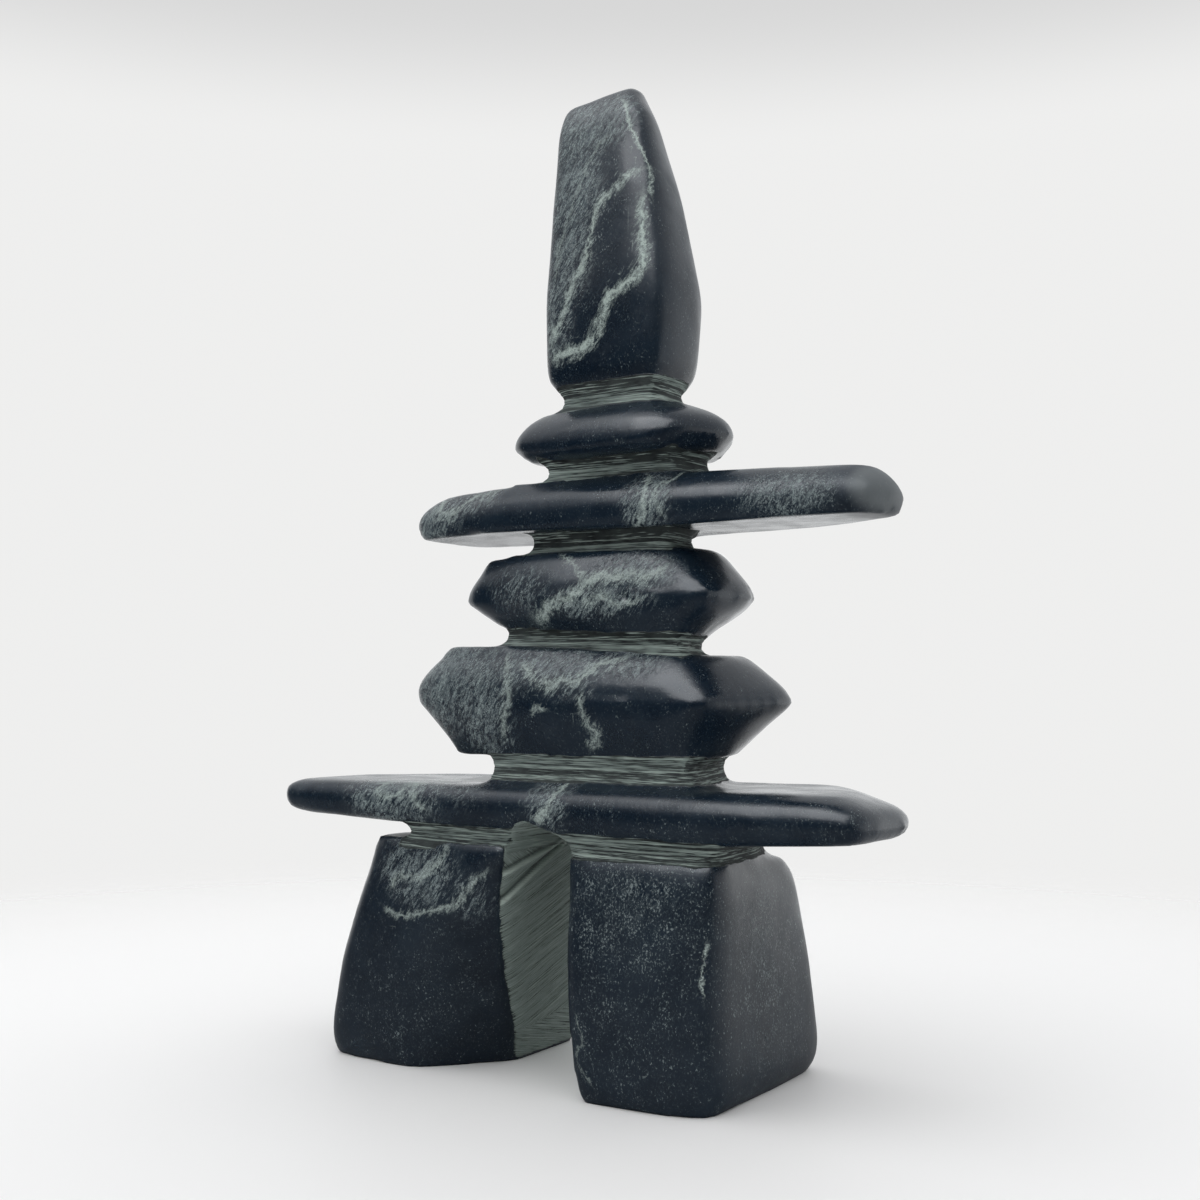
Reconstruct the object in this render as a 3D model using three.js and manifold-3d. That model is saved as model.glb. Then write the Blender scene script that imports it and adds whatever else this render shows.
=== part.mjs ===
// A stone cairn figure carved from one block of serpentine: two legs, a long
// slab across them, two lens-shaped stones, a second slab, a low round stone and
// a tall head stone. Narrow necks, left rough by the rasp, join one stone to the
// next, and an arch is cut between the legs, so the whole figure is one solid.
//
// Units are millimetres. +Z is up, +X is the figure's right-hand side as seen
// from the front, and the front faces -Y. The origin is on the ground at the
// middle of the figure's bounding box.

import * as THREE from "three";
import { LoftGeometry } from "three/addons/geometries/LoftGeometry.js";
import { mergeVertices } from "three/addons/utils/BufferGeometryUtils.js";
import Module from "manifold-3d";

const wasm = await Module();
wasm.setup();

// How far from its own point the rounding of an edge starts.
const STONE_CORNER = 6;
const STONE_EDGE = 2.2;
const NECK_CORNER = 3;
const NECK_EDGE = 1.5;

// The largest facet on any stone.
const ROW_HEIGHT = 7;
const COLUMN_WIDTH = 22;

// A ring of corners round a stone, listed counter-clockwise from above. A corner is
// [x, y] or [x, y, rise], where rise lifts it above the ring's own height.
function ring(z, ...corners) {
  return corners.map(([x, y, rise = 0]) => new THREE.Vector3(x, y, z + rise));
}

// The three points that round a path off at corner b, between its neighbours.
function roundedCorner(a, b, c, reach) {
  const towards = (end) => {
    const share = Math.min(reach / b.distanceTo(end), 0.4);
    return b.clone().lerp(end, share);
  };
  const before = towards(a);
  const after = towards(c);
  const middle = before.clone().add(after).multiplyScalar(0.25).addScaledVector(b, 0.5);
  return [before, middle, after];
}

// A turn of a path, then the straight run to the next turn cut into equal steps.
function withRun(turn, next, steps) {
  const run = Array.from({ length: steps - 1 }, (_, k) =>
    turn.at(-1).clone().lerp(next[0], (k + 1) / steps),
  );
  return [...turn, ...run];
}

// A closed path with every corner rounded.
function roundedLoop(corners, reach, steps) {
  const n = corners.length;
  const turns = corners.map((corner, i) =>
    roundedCorner(corners[(i + n - 1) % n], corner, corners[(i + 1) % n], reach),
  );
  return turns.flatMap((turn, i) => withRun(turn, turns[(i + 1) % n], steps[i]));
}

// An open path with every corner but its two ends rounded.
function roundedPath(corners, reach, steps) {
  const last = corners.length - 1;
  const turns = corners.map((corner, i) =>
    i === 0 || i === last
      ? [corner.clone()]
      : roundedCorner(corners[i - 1], corner, corners[i + 1], reach),
  );
  return turns.flatMap((turn, i) => (i === last ? turn : withRun(turn, turns[i + 1], steps[i])));
}

// A closed solid through rings of corners, lowest first, with its upright corners
// rounded by reach and the edges that run round it by rise.
function loft(rings, rise, reach) {
  const rows = rings
    .slice(1)
    .map((upper, i) => Math.ceil((upper[0].z - rings[i][0].z) / ROW_HEIGHT));
  const across = rings[1].map((corner, i) =>
    Math.ceil(corner.distanceTo(rings[1][(i + 1) % rings[1].length]) / COLUMN_WIDTH),
  );
  const columns = rings[0].map((_, i) => roundedPath(rings.map((r) => r[i]), rise, rows));
  const sections = columns[0].map((_, row) =>
    roundedLoop(columns.map((column) => column[row]), reach, across),
  );
  return solidOf(new LoftGeometry(sections, { capStart: true, capEnd: true }));
}

const stone = (rings) => loft(rings, STONE_EDGE, STONE_CORNER);
const neck = (rings) => loft(rings, NECK_EDGE, NECK_CORNER);

// A three.js geometry as a manifold-3d solid.
function solidOf({ attributes, index }) {
  const shell = new THREE.BufferGeometry();
  shell.setAttribute("position", attributes.position);
  shell.setIndex(index);
  const merged = mergeVertices(shell, 1e-4);
  return new wasm.Manifold(
    new wasm.Mesh({
      numProp: 3,
      vertProperties: merged.attributes.position.array,
      triVerts: new Uint32Array(merged.index.array),
    }),
  );
}

function leftLeg() {
  return stone([
    ring(0, [-73, -22.5], [-41, -26.5], [-13, 6], [-14, 23], [-64, 23]),
    ring(5, [-73.5, -24], [-42, -27.5], [-12, 4], [-12, 25], [-68, 25]),
    ring(25, [-69.5, -24.5], [-37, -29], [-8, -13], [-8, 25], [-65, 25]),
    ring(42, [-62.5, -25.5], [-28, -30], [0, -25], [0, 24], [-60, 24]),
    ring(57.5, [-56, -25], [-17, -29.5], [0, -29], [0, 22], [-53, 22]),
  ]);
}

function rightLeg() {
  return stone([
    ring(0, [6, -30.5], [29, -32], [45, -29], [46, 28], [7, 28]),
    ring(5, [4.8, -31.8], [29, -33], [46, -30], [48.5, 30], [5, 30]),
    ring(28, [4, -31.5], [28, -32.5], [45.5, -30], [46.5, 28], [4, 28]),
    ring(50, [4, -29.5], [27, -30.5], [47, -29.5, 0.5], [43.5, 25, -0.5], [4, 25, -1.5]),
    ring(56, [4, -28], [27, -29], [46, -28], [40.5, 22, -2.5], [4, 22, -4]),
  ]);
}

function legNeck() {
  return neck([
    ring(52, [-45, -24], [43.5, -25], [41.5, -2], [35, 17, -2], [-42, 17]),
    ring(56.5, [-45, -26], [45, -27], [43.8, -2], [37, 18, -2], [-42, 18]),
    ring(59, [-44, -25.5], [45.5, -27.5], [44, -2], [36, 18, -2], [-41, 17]),
    ring(61.5, [-45.5, -26], [46.5, -28], [45.5, -2], [36, 19, -1], [-42, 18]),
    ring(66, [-46, -26], [46.5, -28], [45.5, -2], [37, 19, -1], [-43, 18]),
  ]);
}

function lowerSlab() {
  return stone([
    ring(61.5,
      [-84, -23, 1.7], [-42, -27, 0], [44, -29, -1.8], [79, -28, 0.2],
      [81, -3, 0.5], [59, 20, 0], [-62, 21, 0.5], [-86, 10, 1.7]),
    ring(64,
      [-88, -26, 0.5], [-44, -29.5, 0], [45, -31, -2], [80, -30.5, -0.5],
      [83, -2, 0], [62, 24, 0], [-64, 24, 0.5], [-90, 12, 0.5]),
    ring(69.5,
      [-88, -26, 1], [-44, -29.5, 1], [45, -31, 0], [79, -30.5, -0.8],
      [82, -2, -2], [62, 24, 0], [-64, 24, 1], [-90, 12, 0.5]),
    ring(72.2,
      [-83, -22, -0.6], [-42, -25, -0.3], [44, -25, 0], [74, -24, -0.6],
      [69, -3, -0.5], [56, 19, 0], [-60, 20, -0.4], [-85, 9, -0.6]),
  ]);
}

function slabNeck() {
  return neck([
    ring(68, [-23, -24], [38.5, -24.5], [35.5, -4], [30, 15], [-19, 16]),
    ring(73, [-21.5, -23], [37.5, -23.5], [34, -4], [29, 14], [-18, 15]),
    ring(76, [-20.5, -22.5], [36.5, -23], [33, -4], [28, 13], [-17, 14]),
    ring(79, [-21.5, -22], [36, -22.5], [34, -4], [28, 14], [-18, 15]),
    ring(84, [-22, -22], [36, -22.5], [34, -4], [28, 14], [-18, 15]),
  ]);
}

function lowerLens() {
  return stone([
    ring(79,
      [-36.5, -17], [-13, -23], [36, -23], [39.5, -8],
      [32.5, 12], [24, 18], [-16, 19], [-33, 2]),
    ring(92,
      [-53, -17, 3.5], [-13, -28, 1.5], [41, -26.5], [47, -10],
      [52, 6, 1], [36, 24, 1], [-16, 25, 1], [-50, 8, 2]),
    ring(104,
      [-40, -16, 3], [-13, -22, 2.5], [33, -20.5, -1], [38, -6, -0.5],
      [37.5, 9, -0.3], [22, 17, 0.3], [-14, 18, 2], [-35, 5, 3]),
  ]);
}

function lensNeck() {
  return neck([
    ring(99, [-22, -18], [32, -18.5], [30, -3], [23, 12], [-17, 13]),
    ring(104, [-21, -18.5, 2], [32, -18.5, -0.5], [29.5, -3], [23, 12], [-16, 13]),
    ring(107, [-20.5, -17, 2], [31, -18, -0.5], [29, -3], [22, 11], [-15, 12]),
    ring(110, [-21, -15.5, 2], [31.5, -18, -0.5], [29, -3], [22, 11], [-15, 12]),
    ring(115, [-21, -15.5], [31.5, -18], [29, -3], [22, 11], [-15, 12]),
  ]);
}

function upperLens() {
  return stone([
    ring(109,
      [-27, -14, 3], [-6, -20, 1.5], [33, -19.5, -1.5],
      [31, -4, -1], [24, 12, 0], [-16, 12, 1]),
    ring(117.5,
      [-36.5, -15, 1.4], [-6, -25.5, 0.5], [41, -22, -0.5],
      [43, 0, 0], [33, 20, 0], [-25, 17, 1]),
    ring(129.5,
      [-30.5, -14, 1.2], [-8, -19, 0.4], [29, -17.5, 0],
      [34, -1, 0.8], [26, 12, 0], [-16, 11, 0]),
  ]);
}

function upperNeck() {
  return neck([
    ring(125, [-15, -14], [26.5, -16.5], [27.5, -3], [20, 11], [-12, 10]),
    ring(130, [-14.5, -14.5, 1], [26.5, -16.5], [27.5, -3], [20, 11], [-12, 10]),
    ring(132.5, [-13.5, -15, 1], [26, -16.5], [27, -3], [19, 10], [-11, 9]),
    ring(135, [-14.5, -16, 1], [26.5, -17], [27.5, -3], [20, 11], [-12, 10]),
    ring(140, [-15, -16], [27, -17], [28, -3], [21, 11], [-13, 10]),
  ]);
}

function upperSlab() {
  return stone([
    ring(134,
      [-49, -17, 1.8], [-14, -21, 2], [14, -21, 0.3], [52, -21, 0],
      [79.5, -20, 0], [83, -3, 0.8], [61, 10, 1.3], [-12, 12, 0.7], [-44, 4, 1]),
    ring(138,
      [-52.5, -17, 0.5], [-16, -22, 1.5], [14, -23, 0], [54, -22.5, 0],
      [81, -21, 0], [84, -4, 1], [63, 13, 1], [-12, 15, 1], [-48, 6, 0.5]),
    ring(142,
      [-52, -16, 0.5], [-17, -21, 1.5], [10, -22.5, 1], [54, -22.5, 0],
      [80, -21, -0.5], [82.5, -4, 0], [62, 13, 0], [-12, 15, 1], [-48, 6, 0.5]),
    ring(147,
      [-47, -13, -0.5], [-24, -15, 1.8], [6, -15, 1.8], [50, -15, 0.2],
      [76, -14, -0.8], [77, -3, -0.5], [56, 9, 0.2], [-10, 11, 1], [-42, 4, 0]),
  ]);
}

function discNeck() {
  return neck([
    ring(144, [-10, -14], [29, -14], [33, -3], [22, 8], [-7, 10]),
    ring(149, [-10, -14.5], [28.5, -15.5], [33, -3], [22, 9], [-7, 10]),
    ring(151.5, [-9, -15], [28, -16.5], [32, -3], [21, 10], [-6, 9]),
    ring(154, [-10, -15], [28.5, -17], [33, -3], [22, 11], [-7, 10]),
    ring(158, [-10, -15], [28.5, -17], [33, -3], [22, 11], [-7, 10]),
  ]);
}

function disc() {
  return stone([
    ring(153, [-15, -13], [2, -19], [28, -20], [37, -6, 1], [27, 13, 1], [-8, 13, 1]),
    ring(156.5, [-21, -15, 0], [2, -24, -1], [29, -24, -1], [39, -4, 1], [28, 17, 1], [-14, 16, 1]),
    ring(161, [-21, -14, 0], [2, -22, 0.5], [28, -22, 0.5], [38, -4, 0.5], [27, 16, 1], [-14, 15, 0]),
    ring(167, [-15.5, -11, -0.5], [2, -14, 0], [21, -14, 0.5], [28.5, -3, -0.5], [19, 10, 0], [-10, 8, 0]),
  ]);
}

function headNeck() {
  return neck([
    ring(163, [-7, -12], [22, -15], [25, -2], [16, 9], [-5, 9]),
    ring(167, [-6.5, -12.5], [22.5, -15], [24.5, -1], [15, 9], [-4, 9]),
    ring(169.5, [-6, -12.5], [22.5, -15], [24, -1], [14, 8], [-3, 8]),
    ring(172, [-6.5, -13], [23, -15.5], [24.5, -1], [15, 9], [-4, 9]),
    ring(176, [-7, -13], [23, -15.5], [24.5, -1], [15, 9], [-5, 9]),
  ]);
}

function head() {
  return stone([
    ring(170.5, [-8.5, -13, 1], [23, -15.5, 3], [24, 2, 0], [14, 11, 1], [-6, 10, 0]),
    ring(176, [-12, -14.5], [25.5, -17.5], [27, 4], [15, 15], [-9, 13]),
    ring(195, [-12, -15], [27, -18], [28, 5], [16, 17], [-10, 14]),
    ring(222, [-10.5, -14], [23.5, -16], [22, 5], [12, 15], [-8, 12]),
    ring(240, [-10, -12.5, 0.5], [19.5, -13.5, 2.5], [15.5, 4, 2], [8, 10, 2], [-7, 9, 1]),
    ring(250, [-9.5, -8.5, -2], [13.5, -8, 0], [10.5, 2, 3.5], [4, 6, 4], [-5, 5, 0]),
  ]);
}

// The arch between the legs, cut straight through by hand, so that its outline
// differs a little from front to back.
function arch() {
  const outline = (y, ...points) => points.map(([x, z]) => new THREE.Vector3(x, y, z));
  const back = outline(40,
    [12, -2], [9, 10], [6.5, 30], [6.5, 48], [6, 57], [4, 59.6], [1, 61],
    [-3, 63], [-6.5, 64], [-9.5, 62], [-12, 57], [-14, 52], [-17.5, 30], [-23, -2]);
  const front = outline(-40,
    [11, -2], [8.5, 8], [6.3, 25], [6, 45], [6.2, 56.5], [4.4, 59.4], [1.5, 60.8],
    [-3, 62.8], [-6.7, 63.8], [-10.5, 60], [-11.4, 53], [-12.8, 45], [-17.5, 26], [-24, -2]);
  return solidOf(new LoftGeometry([back, front], { capStart: true, capEnd: true }));
}

function figure() {
  const pieces = [
    leftLeg(), rightLeg(), legNeck(), lowerSlab(), slabNeck(), lowerLens(), lensNeck(),
    upperLens(), upperNeck(), upperSlab(), discNeck(), disc(), headNeck(), head(),
  ];
  const joined = pieces.reduce((all, piece) => all.add(piece));
  return joined.subtract(arch());
}

// A manifold-3d solid as a three.js geometry, stood on the ground with its bounding
// box centred on the origin.
function geometryOf(solid) {
  const { numProp, vertProperties, triVerts } = solid.getMesh();
  const geometry = new THREE.BufferGeometry();
  const positions = new Float32Array((vertProperties.length / numProp) * 3);
  for (let i = 0; i * numProp < vertProperties.length; i++) {
    positions.set(vertProperties.subarray(i * numProp, i * numProp + 3), i * 3);
  }
  geometry.setAttribute("position", new THREE.BufferAttribute(positions, 3));
  geometry.setIndex(new THREE.BufferAttribute(triVerts, 1));
  geometry.computeBoundingBox();
  const { min, max } = geometry.boundingBox;
  geometry.translate(-(min.x + max.x) / 2, -(min.y + max.y) / 2, -min.z);
  geometry.computeVertexNormals();
  return geometry;
}

const serpentine = new THREE.MeshStandardMaterial({ color: 0x1b2228, roughness: 0.3, metalness: 0 });
const cairn = new THREE.Mesh(geometryOf(figure()), serpentine);
cairn.name = "stone_cairn";

const group = new THREE.Group();
group.add(cairn);
export default group;
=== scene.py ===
from math import radians

import bmesh
import bpy
import numpy as np
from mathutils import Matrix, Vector


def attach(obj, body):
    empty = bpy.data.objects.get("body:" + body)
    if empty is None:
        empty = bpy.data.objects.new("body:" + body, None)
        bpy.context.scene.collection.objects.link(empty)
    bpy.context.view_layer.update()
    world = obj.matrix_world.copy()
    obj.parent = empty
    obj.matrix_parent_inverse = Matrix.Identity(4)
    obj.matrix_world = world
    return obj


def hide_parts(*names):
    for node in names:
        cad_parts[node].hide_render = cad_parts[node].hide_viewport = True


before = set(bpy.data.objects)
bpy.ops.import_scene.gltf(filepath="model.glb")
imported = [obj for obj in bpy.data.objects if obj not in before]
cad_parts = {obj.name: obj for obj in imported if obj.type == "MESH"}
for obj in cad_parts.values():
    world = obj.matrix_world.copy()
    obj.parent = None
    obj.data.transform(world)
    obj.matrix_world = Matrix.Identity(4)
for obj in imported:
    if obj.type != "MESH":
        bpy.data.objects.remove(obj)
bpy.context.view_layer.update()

MM = 0.001
# The CAD source draws the figure from its own origin. This is where that origin stands in the
# frame, in mm.
DRAWN_AT = np.array([3.54, 1.43, 0.0])
VOXEL = 1.4  # mm, grid of the carved surface
FINE = 2  # cuts of a grid edge where the chisel and rasp marks are modelled


# ---------------------------------------------------------------- small helpers

def smooth(lo, hi, x):
    """0 below lo and 1 above hi, with an even slope between."""
    t = np.clip((x - lo) / (hi - lo), 0.0, 1.0)
    return t * t * (3.0 - 2.0 * t)


def by_height(z, table):
    """The value at each z, read off rows of (z, value)."""
    heights, values = zip(*table)
    return np.interp(z, heights, values)


LATTICE_SIZE = 32
LATTICE = np.random.default_rng(11).random((LATTICE_SIZE,) * 3)


def noise(p, size, seed=0.0):
    """Value noise from -1 to 1 at points in mm, with features about size mm across.

    The size is one number, or one for each axis."""
    q = p / np.asarray(size, float) + 7.31 * seed + 100.0
    i = np.floor(q).astype(int)
    f = q - i
    f = f * f * (3.0 - 2.0 * f)
    total = np.zeros(len(p))
    for dx in (0, 1):
        for dy in (0, 1):
            for dz in (0, 1):
                x, y, z = ((i + (dx, dy, dz)) % LATTICE_SIZE).T
                corner = LATTICE[x, y, z]
                wx = f[:, 0] if dx else 1.0 - f[:, 0]
                wy = f[:, 1] if dy else 1.0 - f[:, 1]
                wz = f[:, 2] if dz else 1.0 - f[:, 2]
                total += corner * wx * wy * wz
    return total * 2.0 - 1.0


def outline_distance(a, b, corners):
    """Signed distance of points (a, b) to a closed outline: negative inside."""
    poly = np.asarray(corners, float)
    best = np.full(len(a), 1e9)
    inside = np.zeros(len(a), bool)
    for p, q in zip(poly, np.roll(poly, -1, axis=0)):
        e = q - p
        t = np.clip(((a - p[0]) * e[0] + (b - p[1]) * e[1]) / (e @ e), 0.0, 1.0)
        best = np.minimum(best, np.hypot(a - p[0] - t * e[0], b - p[1] - t * e[1]))
        crosses = (p[1] > b) != (q[1] > b)
        if e[1]:
            inside ^= crosses & (a < p[0] + (b - p[1]) * e[0] / e[1])
    return np.where(inside, -best, best)


def curve_through(points, count=90):
    """Points on a smooth curve through the given ones."""
    p = np.asarray(points, float)
    p = np.vstack([2 * p[0] - p[1], p, 2 * p[-1] - p[-2]])
    out = []
    each = max(4, count // (len(p) - 3))
    for k in range(1, len(p) - 2):
        for t in np.linspace(0.0, 1.0, each, endpoint=False):
            out.append(0.5 * (2 * p[k] + (p[k + 1] - p[k - 1]) * t
                              + (2 * p[k - 1] - 5 * p[k] + 4 * p[k + 1] - p[k + 2]) * t * t
                              + (3 * p[k] - p[k - 1] - 3 * p[k + 1] + p[k + 2]) * t ** 3))
    out.append(p[-2])
    return np.array(out)


# ---------------------------------------------------------------- worked zones, in mm as drawn

# Each neck: lowest and highest z of its band at x = 0, the band's rise per mm of x, how much
# more painted shade it gets than the others (drawn as more of the black skin), and its outline
# from above.
NECKS = {
    "leg": (55.5, 62.0, 0.0, -0.15, [(-44, -25.5), (45.5, -27.5), (44, -2), (36, 18), (-41, 17)]),
    "slab": (73.2, 79.2, 0.0, -0.35, [(-20.5, -22.5), (36.5, -23), (33, -4), (28, 13), (-17, 14)]),
    "lens": (104.4, 110.0, -0.04, 0.10, [(-20.5, -17), (31, -18), (29, -3), (22, 11), (-15, 12)]),
    "upper": (129.6, 135.4, -0.02, 0.35, [(-13.5, -15), (26, -16.5), (27, -3), (19, 10), (-11, 9)]),
    "disc": (148.4, 154.6, 0.0, 0.25, [(-9, -15), (28, -16.5), (32, -3), (21, 10), (-6, 9)]),
    "head": (166.4, 172.6, 0.0, 0.15, [(-6, -12.5), (22.5, -15), (24, -1), (14, 8), (-3, 8)]),
}
# The arch's outline (x, z) on the front and on the back of the figure, the height where its roof
# begins, and a height above everything the arch cuts.
ARCH_FRONT = [(11, -2), (8.5, 8), (6.3, 25), (6, 45), (6.2, 56.5), (4.4, 59.4), (1.5, 60.8),
              (-3, 62.8), (-6.7, 63.8), (-10.5, 60), (-11.4, 53), (-12.8, 45), (-17.5, 26), (-24, -2)]
ARCH_BACK = [(12, -2), (9, 10), (6.5, 30), (6.5, 48), (6, 57), (4, 59.6), (1, 61),
             (-3, 63), (-6.5, 64), (-9.5, 62), (-12, 57), (-14, 52), (-17.5, 30), (-23, -2)]
ARCH_ROOF = 59.5
ABOVE_ARCH = 70.0
FAR = 99.0  # mm, a distance that counts as nowhere near

# Pits and small chips: place in the frame, radius and depth, all in mm.
PITS = [
    (26.5, -13.0, 74.6, 1.1, 0.7), (34.0, -10.5, 74.6, 0.8, 0.6), (-3.5, -19.0, 103.9, 0.9, 0.5),
    (6.7, -22.1, 117.1, 1.3, 0.7), (22.5, -21.1, 117.6, 1.6, 0.8), (17.0, -21.4, 117.3, 1.0, 0.5),
    (4.0, -18.6, 103.6, 0.7, 0.5), (18.0, -18.0, 103.2, 0.8, 0.4), (47.0, -27.5, 35.0, 1.3, 0.6),
    (46.2, -27.9, 31.7, 1.0, 0.5), (45.8, -28.1, 27.3, 0.8, 0.4), (50.1, -3.5, 13.3, 0.7, 0.3),
    (-30.0, 20.0, 20.0, 1.0, 0.5), (22.0, 19.5, 44.0, 0.9, 0.5), (60.0, 0.0, 74.8, 0.9, 0.5),
]
# A patch of open, rough grain on the arm slab: centre, half sizes and strength.
OPEN_GRAIN = [((66, -20, 140), (13, 8, 5.5), 1.0)]
# Bands of the lens stones that swell out: lowest and highest z and the swelling, in mm.
SWELLS = [(80.5, 91.0, 0.35), (94.0, 104.0, 0.75), (111.0, 116.5, 0.3), (119.5, 130.0, 0.85)]


def neck_mask(p):
    """1 in the rasped necks, with the number of the neck."""
    q = p - DRAWN_AT
    ragged = 0.28 * noise(p, (5.0, 5.0, 1.2), 1) + 0.25 * noise(p, 1.6, 2)
    mask, which = np.zeros(len(p)), np.zeros(len(p))
    for k, (low, high, rise, _skin_and_shade, corners) in enumerate(NECKS.values()):
        z = q[:, 2] - rise * q[:, 0]
        near = (z > low - 4) & (z < high + 4)
        d = np.full(len(p), FAR)
        d[near] = outline_distance(q[near, 0], q[near, 1], corners)
        m = (smooth(low - 0.8, low + 0.1, z + ragged)
             * (1 - smooth(high - 0.1, high + 0.8, z - ragged))
             * (1 - smooth(1.4, 2.8, d + ragged)))
        which = np.where(m > mask, k + 1.0, which)
        mask = np.maximum(mask, m)
    return mask, which


def arch_mask(p):
    """1 on the faces of the arch, and the side of it: -1 left, 0 roof, 1 right."""
    q = p - DRAWN_AT
    t = np.clip((q[:, 1] + 40.0) / 80.0, 0.0, 1.0)  # 0 at the front, 1 at the back
    d = np.full(len(p), FAR)
    low = q[:, 2] < ABOVE_ARCH
    front = outline_distance(q[low, 0], q[low, 2], ARCH_FRONT)
    back = outline_distance(q[low, 0], q[low, 2], ARCH_BACK)
    d[low] = front * (1 - t[low]) + back * t[low]
    ragged = 0.15 * noise(p, 2.6, 3) + 0.10 * noise(p, 0.9, 4)
    mask = 1 - smooth(0.5, 1.5, np.abs(d) + ragged)
    middle = -2.5 - 0.06 * (60 - q[:, 2])  # x of the arch's middle, which leans left going down
    side = np.where(q[:, 2] > ARCH_ROOF, 0.0, np.where(q[:, 0] < middle, -1.0, 1.0))
    return mask, side


def neck_height(p):
    """About 0 at the foot of the nearest neck and 1 at its top, plus that neck's painted shade."""
    q = p - DRAWN_AT
    best, height = np.full(len(p), 1e9), np.full(len(p), 0.5)
    for low, high, rise, skin_and_shade, _corners in NECKS.values():
        t = (q[:, 2] - rise * q[:, 0] - low) / (high - low)
        better = np.abs(t - 0.5) < best
        best = np.where(better, np.abs(t - 0.5), best)
        height = np.where(better, t + skin_and_shade, height)
    return height


def breaks(p):
    """Height in mm above each of the two slanting breaks on the left face of the arch."""
    behind_edge = p[:, 1] + 26
    return p[:, 2] - (50.5 + behind_edge * 0.24), p[:, 2] - (42.5 + behind_edge * 0.50)


def strokes(p, neck, which, arch, side):
    """Along and across the tool marks in mm, and a number that tells the cuts apart."""
    y, z = p[:, 1], p[:, 2]
    along, across, cut = p[:, 0] + y, z + 0.02 * p[:, 0], 10.0 * which
    first, second = breaks(p)
    foot = z <= 9 + 0.1 * y
    # The planes of the arch's two sides: where, the slant of the strokes, and the cut's number.
    planes = (
        ((side < 0) & (first > 0), radians(-24), 101.0),
        ((side < 0) & (first <= 0) & (second > 0), radians(22), 114.0),
        ((side < 0) & (second <= 0) & ~foot, radians(19), 128.0),
        ((side < 0) & foot, radians(-12), 141.0),
        (side > 0, -0.3, 155.0),
    )
    on_arch = arch > neck
    for plane, slant, number in planes:
        m = on_arch & plane
        along = np.where(m, y * np.cos(slant) + z * np.sin(slant), along)
        across = np.where(m, z * np.cos(slant) - y * np.sin(slant), across)
        cut = np.where(m, number, cut)
    m = on_arch & (side == 0)
    along = np.where(m, y + 0.3 * p[:, 0], along)
    across = np.where(m, p[:, 0] - 0.3 * y, across)
    cut = np.where(m, 168.0, cut)
    return along, across, cut


# ---------------------------------------------------------------- veins and mottling, in mm

VEIN_LAYERS = 3  # veins that cross lie in different layers
# Each vein is a sheet through the block: the layer that carries it, the line (x, z) where it meets
# the front, its lean going back (x and z per mm of y), its width and its strength.
VEINS = [
    (0, [(22.4, 226), (17.1, 222.4), (11.3, 216.2), (8.5, 207.6), (4.2, 197.9), (0.1, 189.5),
         (-5.1, 184)], (0.25, -0.5), 0.42, 0.9),
    (1, [(22.9, 219.2), (22.6, 210.9), (24, 202.2), (18.6, 196.7), (13.5, 193.7), (11, 186.6),
         (7.2, 182), (-0.7, 180.6), (-3.5, 179.3)], (-0.5, 0.4), 0.5, 1.0),
    (2, [(17.4, 246.1), (21.7, 234.2), (24.4, 225.7), (25.9, 217.6)], (-1.0, 0.1), 0.25, 0.9),
    (2, [(14, 238), (6, 228), (1, 214), (-4, 199)], (0.3, -0.2), 0.25, 0.35),
    (0, [(-44, 146), (-36, 140.3), (-27, 144.9), (-20, 147)], (0.5, 0.2), 0.4, 0.6),
    (1, [(27.6, 147.2), (28.2, 140.3), (23.8, 134.8)], (-0.5, 0.1), 0.35, 0.8),
    (2, [(33.3, 147), (31.3, 142.4), (33, 136)], (0.3, 0.1), 0.25, 0.5),
    (0, [(-5.5, 112.8), (5.2, 117.2), (12.9, 120.7), (20.4, 122.9), (28.4, 122.5), (31.7, 124.9)],
     (0.1, -0.25), 0.5, 0.75),
    (1, [(10.7, 117), (16.2, 117.3), (21.3, 115.5), (26.8, 116.5)], (0.3, 0.2), 0.35, 0.6),
    (2, [(2, 128), (9, 124), (14, 119.5)], (-0.3, 0.4), 0.22, 0.5),
    (0, [(-6.3, 100.3), (2.1, 96.5), (11.5, 97.6), (15.9, 101.2), (23.6, 102.3)],
     (0.2, -0.3), 0.4, 0.65),
    (1, [(-12, 104.5), (-9, 98.5), (-9, 92.9), (-11.7, 83)], (0.15, 0.1), 0.4, 0.45),
    (2, [(13.1, 95.2), (14, 88.1), (16.4, 84.5), (13.4, 80.9)], (0.4, 0.2), 0.3, 0.6),
    (2, [(-1.8, 89.9), (0.5, 92.4), (2.8, 91.6)], (0.1, 0.3), 0.2, 0.6),
    (0, [(-52, 73), (-44, 68), (-37, 71), (-31, 65)], (0.3, 0.2), 0.35, 0.6),
    (1, [(5.3, 75), (6.2, 69.1), (3.5, 63)], (0.4, 0.0), 0.35, 0.85),
    (0, [(-47.1, 40.3), (-40.5, 38.4), (-30, 40.1), (-22.2, 42.3), (-17.7, 47.5), (-11.8, 51.5)],
     (0.2, -0.3), 0.28, 0.6),
    (1, [(-44.4, 44.3), (-42.9, 47), (-34.1, 48.8), (-27.6, 53), (-25, 57)],
     (0.3, 0.3), 0.35, 0.55),
    (0, [(47.6, 38.5), (46.9, 35.5), (46.3, 32), (45.9, 29), (46.1, 26.5)], (-0.6, 0.0), 0.14, 0.8),
    (2, [(14, 22), (17, 17), (16, 11), (20, 6)], (0.2, 0.6), 0.10, 0.4),
]
# Where the front of the figure stands: rows of (z, y).
FRONT = [(0, -27), (60, -27.5), (76, -27), (82, -22), (94, -24.5), (104, -19), (113, -21),
         (128, -19), (137, -20), (147, -20), (172, -14), (250, -12)]

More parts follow.
